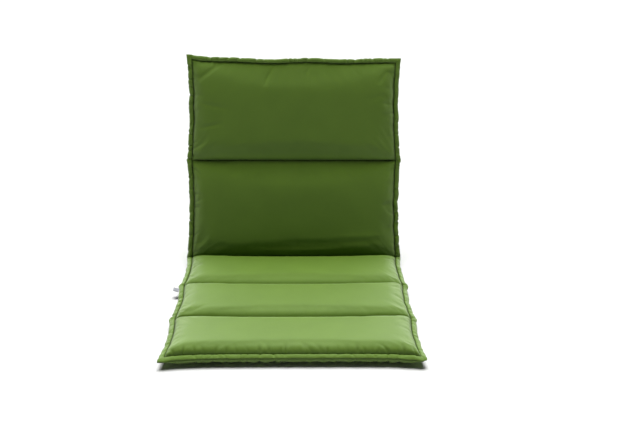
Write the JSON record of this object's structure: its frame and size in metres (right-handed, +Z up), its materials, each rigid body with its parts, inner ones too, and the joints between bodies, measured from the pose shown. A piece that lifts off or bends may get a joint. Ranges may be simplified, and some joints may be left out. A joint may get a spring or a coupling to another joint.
{
  "type": "quilted garden chair pad",
  "caption": "Quilted fabric pad for a garden chair, with a seat and a leaning back of stuffed channels, a soft flange all round and a strap behind.",
  "frame": {"origin": "on the ground under the centre of the seat's middle channel, on its flat underside", "axes": "+Z up, +Y from the seat's front edge towards the back, +X to the right of someone who looks at the pad from its front"},
  "size_m": [0.5143, 0.6613, 0.4635],
  "materials": {
    "cover_fabric": "matte",
    "sewing_thread": "satin",
    "fibre_filling": "matte",
    "satin_tape": "satin",
    "elastic_webbing": "matte"
  },
  "bodies": {
    "seat_front": {"seat_front_face_panel": "cover_fabric", "seat_front_underside_panel": "cover_fabric", "seat_front_filling": "fibre_filling", "seat_front_flange_left": "cover_fabric", "seat_front_flange_right": "cover_fabric", "seat_front_topstitch_left": "sewing_thread", "seat_front_topstitch_right": "sewing_thread", "front_flange": "cover_fabric", "front_topstitch": "sewing_thread", "front_seat_seam_thread": "sewing_thread"},
    "seat_middle": {"seat_middle_face_panel": "cover_fabric", "seat_middle_underside_panel": "cover_fabric", "seat_middle_filling": "fibre_filling", "seat_middle_flange_left": "cover_fabric", "seat_middle_flange_right": "cover_fabric", "seat_middle_topstitch_left": "sewing_thread", "seat_middle_topstitch_right": "sewing_thread", "care_label": "satin_tape"},
    "seat_rear": {"seat_rear_face_panel": "cover_fabric", "seat_rear_underside_panel": "cover_fabric", "seat_rear_filling": "fibre_filling", "seat_rear_flange_left": "cover_fabric", "seat_rear_flange_right": "cover_fabric", "seat_rear_topstitch_left": "sewing_thread", "seat_rear_topstitch_right": "sewing_thread", "rear_seat_seam_thread": "sewing_thread"},
    "back_lower": {"back_lower_face_panel": "cover_fabric", "back_lower_underside_panel": "cover_fabric", "back_lower_filling": "fibre_filling", "back_lower_flange_left": "cover_fabric", "back_lower_flange_right": "cover_fabric", "back_lower_topstitch_left": "sewing_thread", "back_lower_topstitch_right": "sewing_thread", "fold_seam_thread": "sewing_thread"},
    "back_upper": {"back_upper_face_panel": "cover_fabric", "back_upper_underside_panel": "cover_fabric", "back_upper_filling": "fibre_filling", "back_upper_flange_left": "cover_fabric", "back_upper_flange_right": "cover_fabric", "back_upper_topstitch_left": "sewing_thread", "back_upper_topstitch_right": "sewing_thread", "back_seam_thread": "sewing_thread", "top_topstitch": "sewing_thread", "top_flange": "cover_fabric", "chair_strap": "elastic_webbing"}
  },
  "joints": [
    {"name": "fold_seam", "type": "hinge", "parent": "seat_rear", "child": "back_lower", "pos_m": [0, 0.2475, 0.018], "axis": [1, 0, 0], "range_deg": [-71, 60]},
    {"name": "back_seam", "type": "hinge", "parent": "back_lower", "child": "back_upper", "pos_m": [0, 0.32238, 0.23547], "axis": [1, 0, 0], "range_deg": [-30, 45]},
    {"name": "rear_seat_seam", "type": "hinge", "parent": "seat_middle", "child": "seat_rear", "pos_m": [0, 0.0825, 0.018], "axis": [1, 0, 0], "range_deg": [-10, 20]},
    {"name": "front_seat_seam", "type": "hinge", "parent": "seat_middle", "child": "seat_front", "pos_m": [0, -0.0825, 0.018], "axis": [-1, 0, 0], "range_deg": [-10, 20]}
  ]
}
